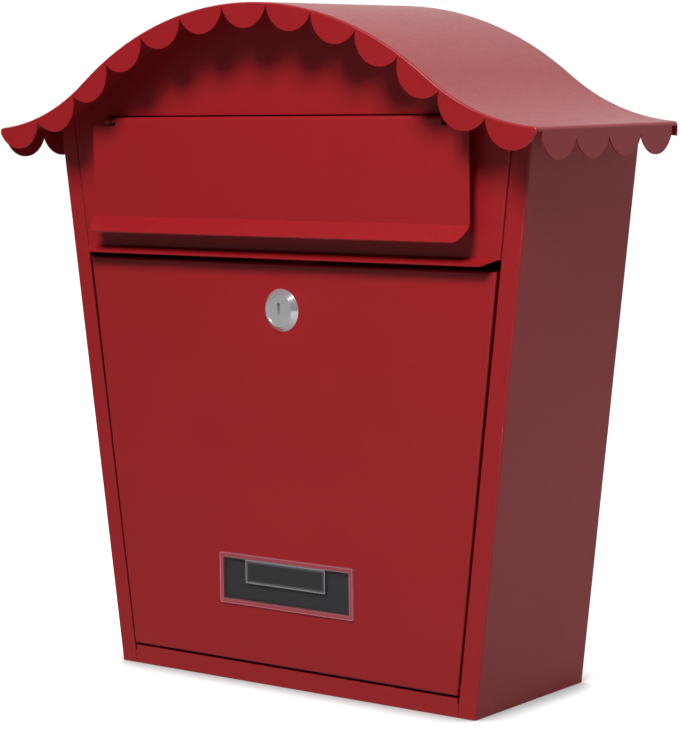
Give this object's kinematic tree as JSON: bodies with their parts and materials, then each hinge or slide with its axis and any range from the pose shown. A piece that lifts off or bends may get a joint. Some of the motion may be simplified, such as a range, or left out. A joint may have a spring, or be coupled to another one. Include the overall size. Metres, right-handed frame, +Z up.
{
  "type": "post box",
  "caption": "Red sheet-steel wall post box with tapering sides, curved scalloped roof, hinged letter flap, bottom-hinged door, cam lock and clear name plate.",
  "frame": {"origin": "centre of the overall box on the floor, under the post box", "axes": "+X to the right seen from the front, +Y towards the wall (front faces -Y), +Z up"},
  "size_m": [0.364, 0.133, 0.37],
  "materials": {
    "red_paint": "satin",
    "zinc_steel": "satin",
    "chrome": "polished",
    "clear_plastic": "clear gloss",
    "card": "matte",
    "dark_plastic": "matte"
  },
  "bodies": {
    "cabinet": {"body_shell": "red_paint", "bottom_panel": "red_paint", "front_panel": "red_paint", "roof": "red_paint", "latch_bracket": "red_paint", "flap_bracket_left": "red_paint", "flap_bracket_right": "red_paint", "hinge_lug_left": "zinc_steel", "hinge_lug_right": "zinc_steel"},
    "door": {"door": "red_paint", "hinge_pin_left": "zinc_steel", "hinge_pin_right": "zinc_steel", "nameplate_window": "clear_plastic", "name_card": "card", "nameplate_back": "dark_plastic", "lock_body": "chrome", "lock_nut": "zinc_steel", "lock_washer": "zinc_steel"},
    "flap": {"flap": "red_paint", "flap_rod": "red_paint", "flap_rod_caps": "red_paint"},
    "lock_core": {"lock_plug": "chrome", "lock_cam": "zinc_steel", "cam_washer": "zinc_steel", "cam_screw": "zinc_steel"}
  },
  "joints": [
    {"name": "door_hinge", "type": "hinge", "parent": "cabinet", "child": "door", "pos_m": [0, -0.0351, 0.0147], "axis": [1, 0, 0], "range_deg": [0, 90]},
    {"name": "flap_hinge", "type": "hinge", "parent": "cabinet", "child": "flap", "pos_m": [0, -0.04465, 0.30835], "axis": [-1, 0, 0], "range_deg": [0, 60]},
    {"name": "lock_turn", "type": "hinge", "parent": "door", "child": "lock_core", "pos_m": [0, -0.0395, 0.207], "axis": [0, -1, 0], "range_deg": [0, 90]}
  ]
}
